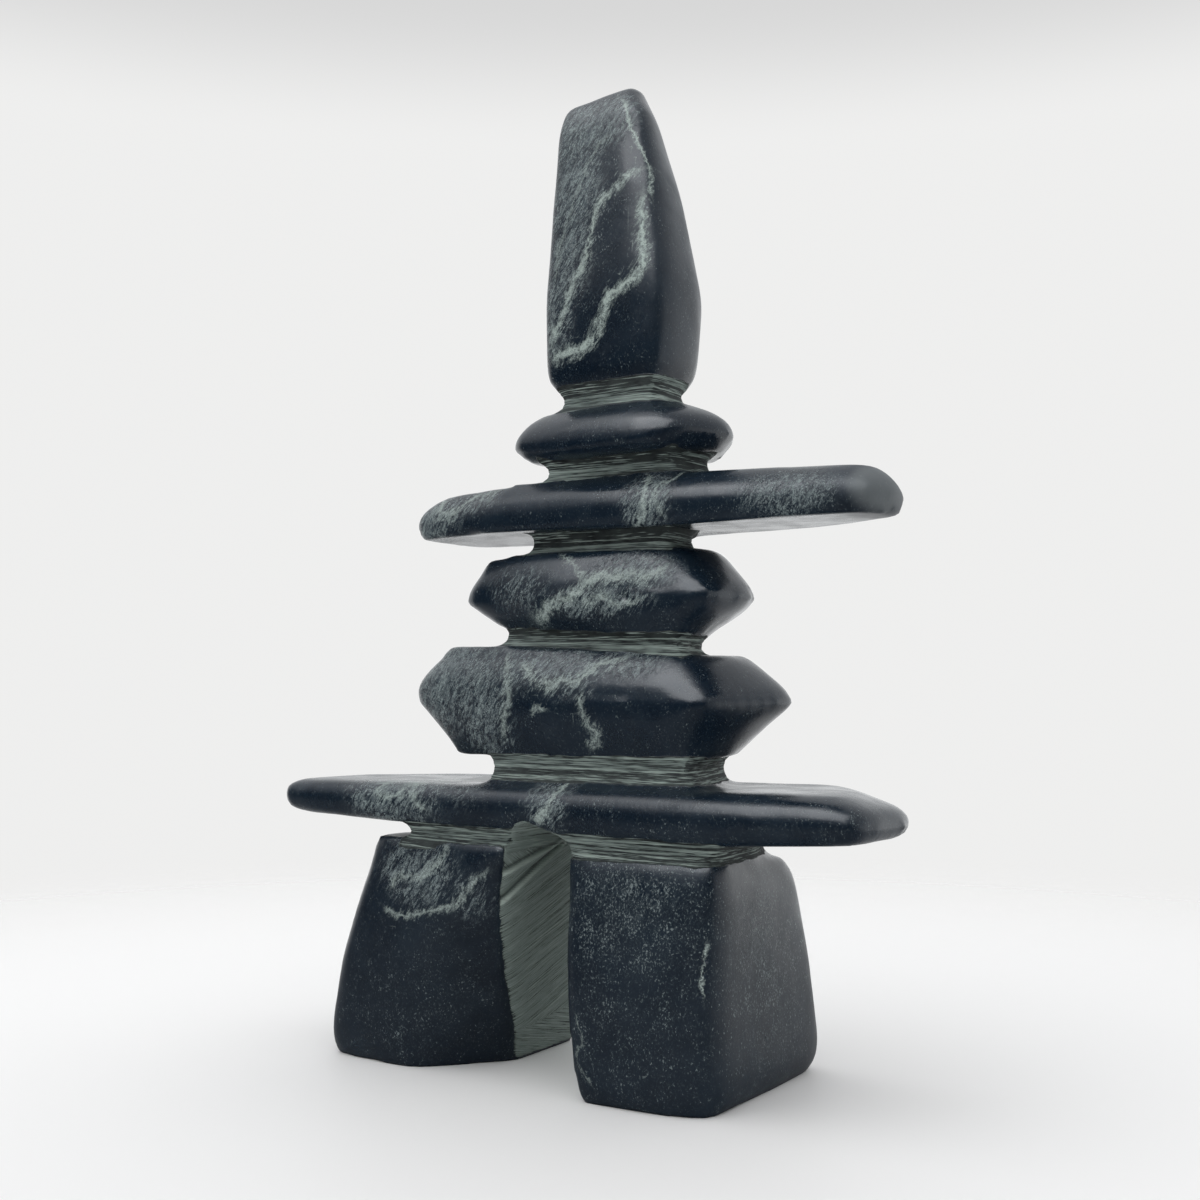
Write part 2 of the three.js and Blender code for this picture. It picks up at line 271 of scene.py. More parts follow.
# Mottled patches: centre, half sizes and strength.
MOTTLE = [
    ((3.5, -11.4, 238), (9, 9, 10), 0.95), ((3, -12.9, 223), (8, 8, 14), 0.95),
    ((2, -13.6, 207), (7, 8, 14), 0.85), ((-3, -14, 192), (7, 8, 12), 0.7),
    ((13, -12, 242), (8, 7, 9), 0.7),
    ((-40, -16, 142), (11, 10, 7), 0.9), ((28, -20, 141), (6, 8, 8), 0.95),
    ((-24, -16, 145), (7, 8, 4), 0.6), ((64, -19, 140), (12, 7, 6), 0.55),
    ((15, -21, 117), (13, 6, 4), 1.0), ((24, -19, 123), (12, 8, 5), 0.7),
    ((-8, -19, 121), (12, 8, 6), 0.45),
    ((-33, -18, 98), (15, 14, 12), 0.95), ((-17, -21, 92), (9, 12, 14), 0.9),
    ((-6, -22, 100), (9, 8, 6), 0.6), ((8, -24, 96), (9, 6, 4), 0.5),
    ((4, -20, 100), (14, 8, 5), 0.8), ((22, -20, 101), (12, 8, 4), 0.6),
    ((-42, -24, 69), (15, 9, 8), 0.95), ((5, -26, 69), (6, 8, 8), 0.7),
    ((-20, -24, 70), (9, 8, 6), 0.35),
    ((-35, -26, 50), (13, 9, 9), 0.70), ((-18, -27, 45), (8, 7, 7), 0.4),
    ((30, -27, 46), (22, 8, 10), 0.18), ((50, -8, 40), (8, 18, 14), 0.2),
    ((8, -26, 22), (5, 6, 6), 0.5),
    # The back, which the photo does not show.
    ((-30, 20, 100), (18, 10, 10), 0.7), ((20, 18, 118), (14, 10, 8), 0.7),
    ((5, 12, 205), (9, 8, 22), 0.7), ((-50, 18, 68), (18, 10, 8), 0.7),
    ((40, 20, 68), (16, 10, 8), 0.5), ((30, 18, 30), (14, 10, 14), 0.5),
    ((-30, 18, 25), (16, 10, 12), 0.4), ((30, 12, 141), (20, 8, 8), 0.6),
    ((20, 14, 158), (10, 8, 6), 0.4),
]
# Finely speckled stone: centre, half sizes and strength.
SPECKLE = [
    ((26, -27, 42), (24, 10, 17), 0.75), ((25, -27, 20), (22, 8, 20), 0.45),
    ((50, 0, 30), (8, 22, 28), 0.6), ((-35, -25, 15), (20, 10, 15), 0.35),
    ((64, -19, 140), (14, 8, 7), 0.9), ((-35, -18, 95), (20, 14, 14), 0.5),
    ((6, -13, 225), (12, 8, 26), 0.5), ((60, -20, 68), (24, 8, 8), 0.3),
    ((0, 20, 30), (50, 10, 30), 0.5), ((30, 10, 200), (14, 14, 34), 0.35),
]
# Stone left duller by the polish: centre, half sizes and added roughness.
DULL = [
    ((0, 0, 24), (90, 50, 34), 0.17), ((84, -14, 141), (9, 20, 10), 0.34),
    ((28, -4, 212), (7, 14, 40), 0.14), ((-84, 0, 68), (20, 30, 10), 0.08),
]


def blobs(p, patches):
    """The strongest of some soft patches at each point, from 0 up to the patch's strength."""
    total = np.zeros(len(p))
    for centre, half, strength in patches:
        d2 = (((p - np.array(centre, float)) / np.array(half, float)) ** 2).sum(1)
        total = np.maximum(total, strength * np.exp(-0.9 * d2 ** 1.3))
    return total


def vein_layer(p, layer):
    """Signed distance in mm to the nearest vein of a layer, its strength there, and its width."""
    distance, power, width = np.full(len(p), 9.0), np.zeros(len(p)), np.full(len(p), 0.3)
    reach = 5.0  # mm round a vein within which it counts
    for which, line, lean, thick, strength in VEINS:
        if which != layer:
            continue
        c = curve_through(line)
        step = np.gradient(c, axis=0)
        step /= np.linalg.norm(step, axis=1)[:, None]
        back = p[:, 1] - by_height(p[:, 2], FRONT)
        a = p[:, 0] - lean[0] * back
        b = p[:, 2] - lean[1] * back
        lo, hi = c.min(0) - reach, c.max(0) + reach
        near = np.flatnonzero((a > lo[0]) & (a < hi[0]) & (b > lo[1]) & (b < hi[1]))
        if not len(near):
            continue
        ax, bx = a[near, None] - c[None, :, 0], b[near, None] - c[None, :, 1]
        k = np.argmin(ax * ax + bx * bx, axis=1)
        rows = np.arange(len(near))
        dx, dz = ax[rows, k], bx[rows, k]
        side = step[k, 0] * dz - step[k, 1] * dx
        d = np.hypot(dx, dz) * np.where(side < 0, -1.0, 1.0)
        ends = smooth(0, 6, k) * (1 - smooth(len(c) - 7, len(c) - 1, k))
        s = strength * (0.25 + 0.75 * ends) * (1 - smooth(1.8, 4.0, np.abs(d)))
        better = s > power[near]
        n = near[better]
        distance[n], power[n], width[n] = d[better], s[better], thick
    return np.stack([distance, power, width], 1)


# ---------------------------------------------------------------- the carved surface

def remeshed(source, voxel):
    """A copy of a CAD node's surface on an even grid."""
    mesh = source.data.copy()
    bm = bmesh.new()
    bm.from_mesh(mesh)
    bmesh.ops.remove_doubles(bm, verts=bm.verts, dist=1e-7)
    bm.to_mesh(mesh)
    bm.free()
    temporary = bpy.data.objects.new("carving_grid", mesh)
    bpy.context.scene.collection.objects.link(temporary)
    grid = temporary.modifiers.new("grid", "REMESH")
    grid.mode = "VOXEL"
    grid.voxel_size = voxel * MM
    bpy.context.view_layer.update()
    evaluated = temporary.evaluated_get(bpy.context.evaluated_depsgraph_get())
    result = bpy.data.meshes.new_from_object(evaluated)
    bpy.data.objects.remove(temporary)
    bpy.data.meshes.remove(mesh)
    result.materials.clear()
    return result


def points_of(mesh):
    """The mesh's points, in mm."""
    co = np.empty(len(mesh.vertices) * 3)
    mesh.vertices.foreach_get("co", co)
    return co.reshape(-1, 3) / MM


def set_points(mesh, p):
    """Moves the mesh's points to places in mm."""
    mesh.vertices.foreach_set("co", (p * MM).ravel())
    mesh.update()


def edges_of(mesh):
    """The two point numbers of each edge."""
    e = np.empty(len(mesh.edges) * 2, int)
    mesh.edges.foreach_get("vertices", e)
    return e.reshape(-1, 2)


def normals_of(mesh):
    """The direction the surface faces at each point."""
    n = np.empty(len(mesh.vertices) * 3)
    mesh.vertex_normals.foreach_get("vector", n)
    return n.reshape(-1, 3)


# How far hand sanding rounded each height: most on the head and the legs, not at all in the necks.
SANDED = [(0, 0.2), (3, 0.7), (52, 0.7), (56, 0.05), (62, 0.05), (64, 0.7), (73, 0.7), (76, 0.05),
          (79, 0.05), (82, 0.8), (103, 0.8), (106, 0.05), (111, 0.05), (113, 0.9), (129, 0.9),
          (132, 0.05), (135, 0.05), (137, 0.7), (148, 0.7), (151, 0.05), (155, 0.05), (157, 0.6),
          (166, 0.6), (169, 0.05), (173, 0.05), (177, 1.0), (254, 1.0)]
# How far the corners of each height are worn off.
WORN = [(0, 0.45), (48, 0.45), (54, 0), (62.5, 0), (64.5, 0.2), (71.5, 0.2), (73, 0), (80, 0),
        (83, 1), (88, 1), (92, 0.2), (96, 1), (100, 1), (103, 0.5), (105, 0), (110, 0), (113, 0.7),
        (115, 0.7), (118, 0.2), (121, 1), (126, 1), (129, 0.5), (131, 0), (136, 0), (138.5, 0.35),
        (145.5, 0.35), (148, 0), (155, 0), (157, 0.5), (164, 0.5), (166, 0), (174, 0), (180, 0.5),
        (235, 0.5), (250, 0)]


def softness(p):
    """How far sanding rounded each point, with the rims of the lens stones kept sharp."""
    z = p[:, 2]
    soft = by_height(z, SANDED)
    q = p - DRAWN_AT
    for rim in (92.5, 118.0):
        reach = np.where(q[:, 0] < -30, 0.6, 1.0)
        soft = soft * (1 - 0.85 * reach * np.exp(-((z - rim) / 2.2) ** 2))
    return soft[:, None]


def neighbour_sum(values, edges):
    """Sum of each point's neighbours in the grid."""
    return (np.bincount(edges[:, 0], values[edges[:, 1]], len(values))
            + np.bincount(edges[:, 1], values[edges[:, 0]], len(values)))


def relaxed(p, edges, rounds, weight=1.0):
    """Evens the surface out without shrinking it: each round smooths, then swells a little more."""
    smoothing, swelling = 0.70, -0.725
    count = np.bincount(edges.ravel(), minlength=len(p))[:, None]
    for k in range(2 * rounds):
        total = np.stack([neighbour_sum(p[:, axis], edges) for axis in range(3)], 1)
        move = total / count - p
        p = p + move * (smoothing if k % 2 == 0 else swelling) * weight
    return p


def between(z, low, high):
    """1 well inside a range of heights and 0 outside it, with 3 mm to change in."""
    return smooth(low, low + 3, z) * (1 - smooth(high - 3, high, z))


def rounded_corners(p, edges, rounds):
    """Wears down corners: seen from above those of every stone but not its rim, and in the round
    those of the slabs, the disc and the left ends of the lens stones."""
    count = np.bincount(edges.ravel(), minlength=len(p))
    z = p[:, 2]
    worn = by_height(z, WORN)
    left = 1 - smooth(-16, 0, p[:, 0] - DRAWN_AT[0])
    lens = (z > 80) & (z < 131)
    level = np.where(lens, 0.9 * worn * left, np.where((z > 60) & (z < 168), worn, 0.0))
    for _ in range(rounds):
        for axis, weight in ((0, worn), (1, worn), (2, level)):
            mean = neighbour_sum(p[:, axis], edges) / count
            p[:, axis] += 0.5 * weight * (mean - p[:, axis])
    # Worn ends draw in a little. This gives them back their length, and lowers the left shoulder
    # of the upper lens stone.
    slab = between(z, 62, 75) + between(z, 136, 149)
    disc = between(z, 155, 167)
    rims = np.exp(-((z - 92.5) / 3.5) ** 2) + np.exp(-((z - 119.0) / 3.5) ** 2)
    upper = z > 105
    x = p[:, 0]
    p[:, 2] -= 1.2 * smooth(122, 128, z) * (1 - smooth(131, 133, z)) * (1 - smooth(-20, -13, x))
    p[:, 0] = (x + 1.4 * rims * smooth(26, 42, x) - 1.7 * rims * upper * (1 - smooth(-26, -12, x))
               + 0.7 * slab * np.sign(x) * smooth(45, 82, np.abs(x))
               + 1.7 * disc * np.sign(x - 12) * smooth(6, 24, np.abs(x - 12)))
    return p


def refine(mesh):
    """Cuts the grid finer where tool marks and pits are modelled."""
    p = points_of(mesh)
    neck, _ = neck_mask(p)
    arch, _ = arch_mask(p)
    pit = np.zeros(len(p), bool)
    for *centre, radius, _depth in PITS:
        pit |= np.linalg.norm(p - np.array(centre), axis=1) < radius + 1.5
    bm = bmesh.new()
    bm.from_mesh(mesh)
    bm.verts.ensure_lookup_table()
    every, upright = [], []
    marked = 0.25  # of the mask, above which an edge is cut
    for e in bm.edges:
        i, j = e.verts[0].index, e.verts[1].index
        if max(arch[i], arch[j]) > marked or pit[i] or pit[j]:
            every.append(e)
        elif max(neck[i], neck[j]) > marked:
            # The grooves of the necks run level, so only the upright edges need cutting.
            v = e.verts[1].co - e.verts[0].co
            if abs(v.z) > 0.45 * v.length:
                upright.append(e)
    bmesh.ops.subdivide_edges(bm, edges=upright, cuts=FINE, use_grid_fill=True)
    every = [e for e in every if e.is_valid]
    bmesh.ops.subdivide_edges(bm, edges=every, cuts=FINE, use_grid_fill=True)
    bm.to_mesh(mesh)
    bm.free()


def facing_arch(p, n):
    """1 where the surface faces into the arch, 0 on the polished corners that round into it."""
    return smooth(0.72, 0.93, np.hypot(n[:, 0], np.where(p[:, 2] > 56, n[:, 2], 0.0)))


def carve(mesh):
    """Moves the surface in or out: hand work's slow waviness, tool marks and pits. All in mm."""
    p, n = points_of(mesh), normals_of(mesh)
    neck, which = neck_mask(p)
    arch, side = arch_mask(p)
    z = p[:, 2]
    polished = 1 - np.maximum(neck, arch)
    waves = np.where(z > 172, 0.10, 0.26)  # the head is the smoothest stone
    move = (waves * noise(p, 30.0, 5) + 0.04 * noise(p, 9.0, 6)) * polished * smooth(0, 4, z)
    for low, high, swell in SWELLS:
        t = np.clip((z - low) / (high - low), 0, 1)
        move += swell * (4 * t * (1 - t)) * polished

    # Grooves of the rasp, one beside the other and of uneven depth.
    along, across, cut = strokes(p, neck, which, arch, side)
    s = np.stack([along, across, cut], 1)
    wander = 0.16 * noise(s, (14.0, 4.0, 1.0), 7)
    pitch = np.where(neck >= arch, 1.05, 0.95)
    line = (across + wander) / pitch
    k = np.floor(line)
    f = line - k
    deep = 0.35 + 0.65 * np.abs(noise(np.stack([along * 0.08, k, cut], 1), 1.0, 8))
    groove = (1 - np.abs(2 * f - 1)) ** 1.4 * deep
    ripple = noise(s, (7.0, 0.55, 1.0), 9)
    move -= neck * (0.24 * groove + 0.08 * (ripple + 1))
    facing = facing_arch(p, n)
    move -= (arch > neck) * smooth(0.6, 1.0, arch) * facing * (0.08 * groove + 0.05 * (ripple + 1))

    # The left face of the arch was cut in planes that meet in two slanting breaks.
    first, second = breaks(p)
    left = arch * (arch > neck) * (side < 0) * facing
    upper = (1 - smooth(0.0, 7.0, first)) * smooth(-0.5, 0.0, first)
    up = second / np.maximum(second - first, 0.5)
    middle = (1 - smooth(0.0, 1.0, up)) * smooth(-0.5, 0.0, second) * (first < 0)
    move -= left * (0.8 * upper + 1.0 * middle)

    for *centre, radius, depth in PITS:
        d = np.linalg.norm(p - np.array(centre), axis=1) / radius
        move -= depth * np.clip(1 - d * d, 0, 1) ** 1.5
    move -= blobs(p, OPEN_GRAIN) * (0.28 + 0.16 * np.abs(noise(p, 1.9, 10)))
    p = p + n * move[:, None]
    p[:, 2] = np.maximum(p[:, 2], 0.0)
    set_points(mesh, p)


def paint(mesh):
    """Stores where each kind of stone and finish lies, for the material.

    worked: how rasped, the height in the neck with that neck's painted shade added, how much of it
    is arch. rim: 1 for a painted highlight just below each break in the arch and -1 for a painted
    shadow just above it. stroke: along, across, cut. stone: mottling, speckle, dullness. vein0 to
    vein2: distance, strength, width."""
    p = points_of(mesh)
    neck, which = neck_mask(p)
    arch, side = arch_mask(p)
    along, across, cut = strokes(p, neck, which, arch, side)
    n = normals_of(mesh)
    arch = arch * facing_arch(p, n)
    # On the sides of the necks that face right the height is lowered, and the arch has the finer
    # strokes.
    height = neck_height(p) - 0.8 * smooth(0.5, 0.9, n[:, 0])
    across = np.where(arch > neck, 1.7 * across, across)
    # The rim attribute is painted light: a painted highlight just below each break and a painted
    # shadow just above it.
    first, second = breaks(p)
    lip_highlight = [np.exp(-((above + 0.4) / 0.45) ** 2) for above in (first, second)]
    shadow = [np.exp(-((first - 0.7) / 0.5) ** 2), np.exp(-((second - 0.8) / 0.7) ** 2)]
    rim = np.maximum(*lip_highlight) - 0.8 * np.maximum(*shadow)

    def store(name, values, kind="FLOAT_VECTOR"):
        layer = mesh.attributes.new(name, kind, "POINT")
        field = "vector" if kind == "FLOAT_VECTOR" else "value"
        layer.data.foreach_set(field, np.asarray(values, float).ravel())

    height = np.where(neck > arch, height, 0.5)
    store("worked", np.stack([np.maximum(neck, arch), height, arch], 1))
    store("rim", rim * arch * (side < 0), "FLOAT")
    store("stroke", np.stack([along, across, cut], 1))
    store("stone", np.stack([blobs(p, MOTTLE), blobs(p, SPECKLE), blobs(p, DULL)], 1))
    for layer in range(VEIN_LAYERS):
        store(f"vein{layer}", vein_layer(p, layer))


# ---------------------------------------------------------------- material

class Nodes:
    """Short calls for a material's node tree."""

    def __init__(self, tree):
        self.tree = tree
        tree.nodes.clear()

    def add(self, kind, inputs=None, **settings):
        """A new node. An input given a socket is linked, and one given a value is set."""
        node = self.tree.nodes.new(kind)
        for name, value in settings.items():
            setattr(node, name, value)
        for name, value in (inputs or {}).items():
            if isinstance(value, bpy.types.NodeSocket):
                self.tree.links.new(value, node.inputs[name])
            else:
                node.inputs[name].default_value = value
        return node

    def math(self, operation, a, b=0.0, clamp=False):
        node = self.add("ShaderNodeMath", {0: a, 1: b}, operation=operation, use_clamp=clamp)
        return node.outputs[0]

    def times(self, a, b):
        return self.math("MULTIPLY", a, b)

    def plus(self, a, b):
        return self.math("ADD", a, b)

    def most(self, a, b):
        return self.math("MAXIMUM", a, b)

    def off_middle(self, value):
        """A noise's value less its middle, 0.5."""
        return self.math("SUBTRACT", value, 0.5)

    def step(self, value, low, high, out_low=0.0, out_high=1.0):
        """Goes smoothly from out_low at low to out_high at high."""
        inputs = {"Value": value, "From Min": low, "From Max": high, "To Min": out_low,
                  "To Max": out_high}
        return self.add("ShaderNodeMapRange", inputs, interpolation_type="SMOOTHSTEP").outputs[0]

    def noise(self, vector, scale, detail=3.0, roughness=0.55, distortion=0.0):
        inputs = {"Vector": vector, "Scale": scale, "Detail": detail, "Roughness": roughness,
                  "Distortion": distortion}
        return self.add("ShaderNodeTexNoise", inputs).outputs["Fac"]

    def mix(self, factor, a, b):
        """Colour a where the factor is 0 and colour b where it is 1."""
        node = self.add("ShaderNodeMix", {"Factor": factor}, data_type="RGBA")
        for socket, value in ((node.inputs[6], a), (node.inputs[7], b)):
            if isinstance(value, bpy.types.NodeSocket):
                self.tree.links.new(value, socket)
            else:
                socket.default_value = (*value, 1.0)
        return node.outputs[2]

    def blend(self, factor, a, b):
        """Number a where the factor is 0 and number b where it is 1."""
        node = self.add("ShaderNodeMix", {"Factor": factor, 2: a, 3: b}, data_type="FLOAT")
        return node.outputs[0]

    def stored(self, name, output="Vector"):
        """What paint stored under a name."""
        return self.add("ShaderNodeAttribute", attribute_name=name).outputs[output]

    def parts(self, vector):
        return self.add("ShaderNodeSeparateXYZ", {0: vector}).outputs

    def stretched(self, vector, x, y, z):
        return self.add("ShaderNodeMapping", {"Vector": vector, "Scale": (x, y, z)}).outputs[0]


# Colours, linear.
BLACK_STONE = (0.0030, 0.0085, 0.0170)
BLUE_STONE = (0.0075, 0.0155, 0.0260)
GRAIN = (0.030, 0.043, 0.050)
FLECK_HALO = (0.032, 0.044, 0.052)
FLECK = (0.145, 0.178, 0.184)
FLAKE = (0.120, 0.150, 0.152)
HAZE = (0.066, 0.085, 0.098)
GROWTH = (0.275, 0.335, 0.330)
VEIN = (0.420, 0.500, 0.465)
UNPOLISHED = (0.105, 0.118, 0.124)
RASPED_DARK = (0.115, 0.145, 0.135)
RASPED_PALE = (0.290, 0.350, 0.320)
ARCH_DUST = (0.400, 0.475, 0.440)
# Black skin left by the tool, also used as painted shade in the necks.
BLACK_SKIN_AND_SHADE = (0.006, 0.009, 0.010)
# Painted highlight and painted shadow along the breaks in the arch.
BREAK_PAINTED_HIGHLIGHT = (0.480, 0.560, 0.510)
BREAK_SHADOW = (0.012, 0.017, 0.017)
RASPED_ROUGHNESS = 0.78


def serpentine():
    """Polished blue-black stone with specks, mottling and veins, and rasped stone where it was
    worked."""
    # This material also paints light: painted shade in the necks, and a painted highlight and a
    # painted shadow along the breaks in the arch.
    material = bpy.data.materials.new("serpentine_polished")
    material.use_nodes = True
    t = Nodes(material.node_tree)
    place = t.add("ShaderNodeTexCoord").outputs["Object"]
    place = t.stretched(place, 1000, 1000, 1000)  # mm from here on
    worked, height, worked_arch = t.parts(t.stored("worked"))
    mottle, speckle, dull = t.parts(t.stored("stone"))

    # Dark ground: blue-black serpentine with slow clouds and a fine grain.
    clouds = t.noise(place, 0.055, 3, 0.6, 0.4)
    grain = t.noise(place, 1.7, 2, 0.65)
    ground = t.mix(t.step(clouds, 0.35, 0.7), BLACK_STONE, BLUE_STONE)
    ground = t.mix(t.step(grain, 0.55, 0.8, 0, 0.35), ground, GRAIN)

    # Flecks: small torn pale grains in drifts, thickest where the stone is speckled.
    drift = t.noise(place, 0.20, 3, 0.6)
    fleck = t.noise(t.stretched(place, 1.0, 1.0, 0.70), 2.4, 2, 0.62, 0.6)
    fleck = t.plus(fleck, t.plus(t.times(speckle, 0.150), t.times(drift, 0.30)))
    dots = t.step(fleck, 0.832, 0.910)
    ground = t.mix(t.step(fleck, 0.68, 0.84, 0.0, 0.5), ground, FLECK_HALO)
    ground = t.mix(dots, ground, FLECK)

    # Flakes: a few larger torn scraps where the stone is speckled.
    flake = t.noise(t.stretched(place, 1.0, 1.0, 0.55), 0.80, 3, 0.72, 1.4)
    flake = t.plus(flake, t.times(speckle, 0.05))
    ground = t.mix(t.step(flake, 0.655, 0.72, 0.0, 0.6), ground, FLAKE)

    # Mottling: grey-green growth in torn diagonal fibres, with pale threads and hairs in it.
    lean = {"Vector": place, "Rotation": (0.0, radians(-56), 0.0), "Scale": (2.6, 1.2, 0.8)}
    turned = t.add("ShaderNodeMapping", lean, vector_type="TEXTURE").outputs[0]
    torn = t.noise(turned, 0.38, 5, 0.74, 1.8)
    fine = t.noise(turned, 1.15, 3, 0.72, 0.5)
    fibre = t.plus(t.times(torn, 0.55), t.times(fine, 0.45))
    growth = t.plus(fibre, t.times(mottle, 0.105))
    crumb = t.noise(place, 2.6, 1, 0.7)
    threads = t.math("ABSOLUTE", t.off_middle(t.noise(turned, 0.30, 4, 0.66, 2.6)))
    threads = t.step(threads, 0.0, 0.034, 1.0, 0.0)
    hairs = t.math("ABSOLUTE", t.off_middle(t.noise(turned, 0.62, 3, 0.68, 2.4)))
    hairs = t.step(hairs, 0.0, 0.044, 0.85, 0.0)
    lace = t.times(t.most(threads, hairs), t.step(crumb, 0.34, 0.62, 0.35, 1.0))
    there = t.step(mottle, 0.06, 0.45)
    haze = t.times(t.step(growth, 0.50, 0.64, 0.0, 0.72), there)
    pale = t.times(t.times(lace, t.step(growth, 0.51, 0.60)), there)
    pale = t.most(pale, t.times(t.step(growth, 0.65, 0.74, 0.0, 0.8), there))
    ground = t.mix(haze, ground, HAZE)
    ground = t.mix(pale, ground, GROWTH)

    # Veins: each layer holds the distance to a vein's sheet. The stone round it turns pale in torn
    # bands, with a brighter broken thread inside.
    bend = t.times(t.off_middle(t.noise(place, 0.13, 2, 0.6)), 6.0)
    shake = t.times(t.off_middle(t.noise(place, 0.8, 2, 0.7)), 2.6)
    offset = t.plus(bend, shake)
    broken = t.noise(place, 0.30, 3, 0.7)
    veins = None
    for layer in range(VEIN_LAYERS):
        distance, power, width = t.parts(t.stored(f"vein{layer}"))
        widths_away = t.math("DIVIDE", t.math("ABSOLUTE", t.plus(distance, offset)), width)
        core = t.step(widths_away, 0.3, 2.4, 1.0, 0.0)
        core = t.times(core, t.step(broken, 0.38, 0.54, 0.1, 1.0))
        band = t.step(widths_away, 0.0, 10.0, 1.0, 0.0)
        torn_band = t.step(t.plus(fibre, t.times(band, 0.20)), 0.59, 0.74)
        torn_band = t.times(torn_band, t.plus(t.times(lace, 0.70), 0.38))
        torn_band = t.times(torn_band, t.math("POWER", band, 0.6))
        one = t.most(t.times(core, 0.85), torn_band)
        one = t.times(one, t.step(power, 0.02, 0.5, 0.0, 1.0))
        one = t.times(one, t.plus(t.times(power, 0.8), 0.2))
        veins = one if veins is None else t.most(veins, one)
    veins = t.times(veins, t.step(crumb, 0.32, 0.60, 0.55, 1.0))
    polished = t.mix(veins, ground, VEIN)
    polished = t.mix(t.step(dull, 0.19, 0.32, 0.0, 0.8), polished, UNPOLISHED)

    # Worked stone: pale dust and scratches, black where the tool left the skin. Painted shade is
    # added
    # to that black: more of it towards the top of each neck and in the necks that lie in shade. It is
    # also a little darker at the foot of each neck and at the edges of the worked stone.
    stroke = t.stored("stroke")
    streak = t.noise(t.stretched(stroke, 0.025, 1.30, 1.0), 1.0, 4, 0.72)
    hair = t.noise(t.stretched(stroke, 0.16, 4.2, 1.0), 1.0, 2, 0.6)
    cloud = t.noise(place, 0.22, 3, 0.6)
    tone = t.plus(t.times(streak, 0.62), t.times(hair, 0.38))
    # Painted shade: more black towards the top of each neck, under the stone above, and in the necks
    # given more shade; a little less on the arch.
    shade_shift = t.plus(t.times(worked_arch, -0.045), t.step(height, 0.50, 1.0, 0.0, 0.085))
    bound = t.plus(t.step(worked, 0.6, 1.0, 0.06, 0.0), t.step(height, 0.0, 0.25, 0.05, 0.0))
    skin_and_shade = t.plus(t.math("SUBTRACT", 1.0, tone), t.plus(shade_shift, bound))
    skin_and_shade = t.times(t.step(skin_and_shade, 0.500, 0.545), t.step(cloud, 0.30, 0.62, 1.0, 0.85))
    rasped = t.mix(t.step(tone, 0.49, 0.64), RASPED_DARK, RASPED_PALE)
    rasped = t.mix(t.times(worked_arch, 0.22), rasped, ARCH_DUST)
    rasped = t.mix(skin_and_shade, rasped, BLACK_SKIN_AND_SHADE)
    # Painted highlight just below each break in the arch and painted shadow just above it.
    rim = t.stored("rim", "Fac")
    rasped = t.mix(t.math("MULTIPLY", rim, 1.0, clamp=True), rasped, BREAK_PAINTED_HIGHLIGHT)
    rasped = t.mix(t.math("MULTIPLY", rim, -0.9, clamp=True), rasped, BREAK_SHADOW)

    edge = t.plus(worked, t.times(t.off_middle(streak), 0.16))
    bare = t.step(edge, 0.42, 0.62)
    colour = t.mix(bare, polished, rasped)

    gloss = t.plus(t.step(t.noise(place, 0.12, 2, 0.6), 0.3, 0.7, 0.20, 0.29), dull)
    gloss = t.plus(gloss, t.times(veins, 0.14))
    gloss = t.plus(gloss, t.times(pale, 0.10))
    roughness = t.blend(bare, gloss, RASPED_ROUGHNESS)

    # Fine relief: orange-peel and open grain on the polish, scratches on the worked stone.
    peel = t.plus(t.times(t.noise(place, 0.35, 2, 0.5), 0.35), t.times(t.plus(grain, crumb), 0.07))
    peel = t.math("SUBTRACT", peel, t.times(dots, 0.12))
    peel = t.math("SUBTRACT", peel, t.times(t.times(there, lace), 0.35))
    peel = t.math("SUBTRACT", peel, t.times(veins, 0.12))
    relief = t.blend(bare, peel, t.times(tone, 2.6))
    bump = t.add("ShaderNodeBump", {"Height": relief, "Strength": 0.6, "Distance": 0.00025})

    shader = t.add("ShaderNodeBsdfPrincipled", {
        "Base Color": colour, "Roughness": roughness, "IOR": 1.54, "Specular IOR Level": 0.34,
        "Normal": bump.outputs[0]})
    t.add("ShaderNodeOutputMaterial", {"Surface": shader.outputs[0]})
    return material


# ---------------------------------------------------------------- the piece

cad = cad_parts["stone_cairn"]
mesh = remeshed(cad, VOXEL)
edges = edges_of(mesh)
even = relaxed(points_of(mesh), edges, 3)  # takes out the steps of the grid
even = relaxed(even, edges, 60, softness(even))
set_points(mesh, rounded_corners(even, edges, 40))
refine(mesh)
paint(mesh)
carve(mesh)
mesh.name = "stone_cairn_carved"
for polygon in mesh.polygons:
    polygon.use_smooth = True
figure = bpy.data.objects.new("stone_cairn_carved", mesh)
bpy.context.scene.collection.objects.link(figure)
mesh.materials.append(serpentine())
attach(figure, "root")
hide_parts("stone_cairn")


# ---------------------------------------------------------------- studio

FLOOR = (0.90, 0.90, 0.90)
FLOOR_IN_MIRROR = (0.14, 0.15, 0.16)
WALL_LOW = (1.15, 1.17, 1.18)
WALL_HIGH = (0.80, 0.82, 0.84)
DARK_ROOM = (0.012, 0.020, 0.032)
WINDOW = (5.6, 5.7, 5.8)
DOME_LOW = (0.76, 0.77, 0.78)
DOME_HIGH = (0.95, 0.95, 0.95)
BACKDROP = (0.860, 0.860, 0.855)
BACKDROP_TOP = (0.680, 0.680, 0.680)


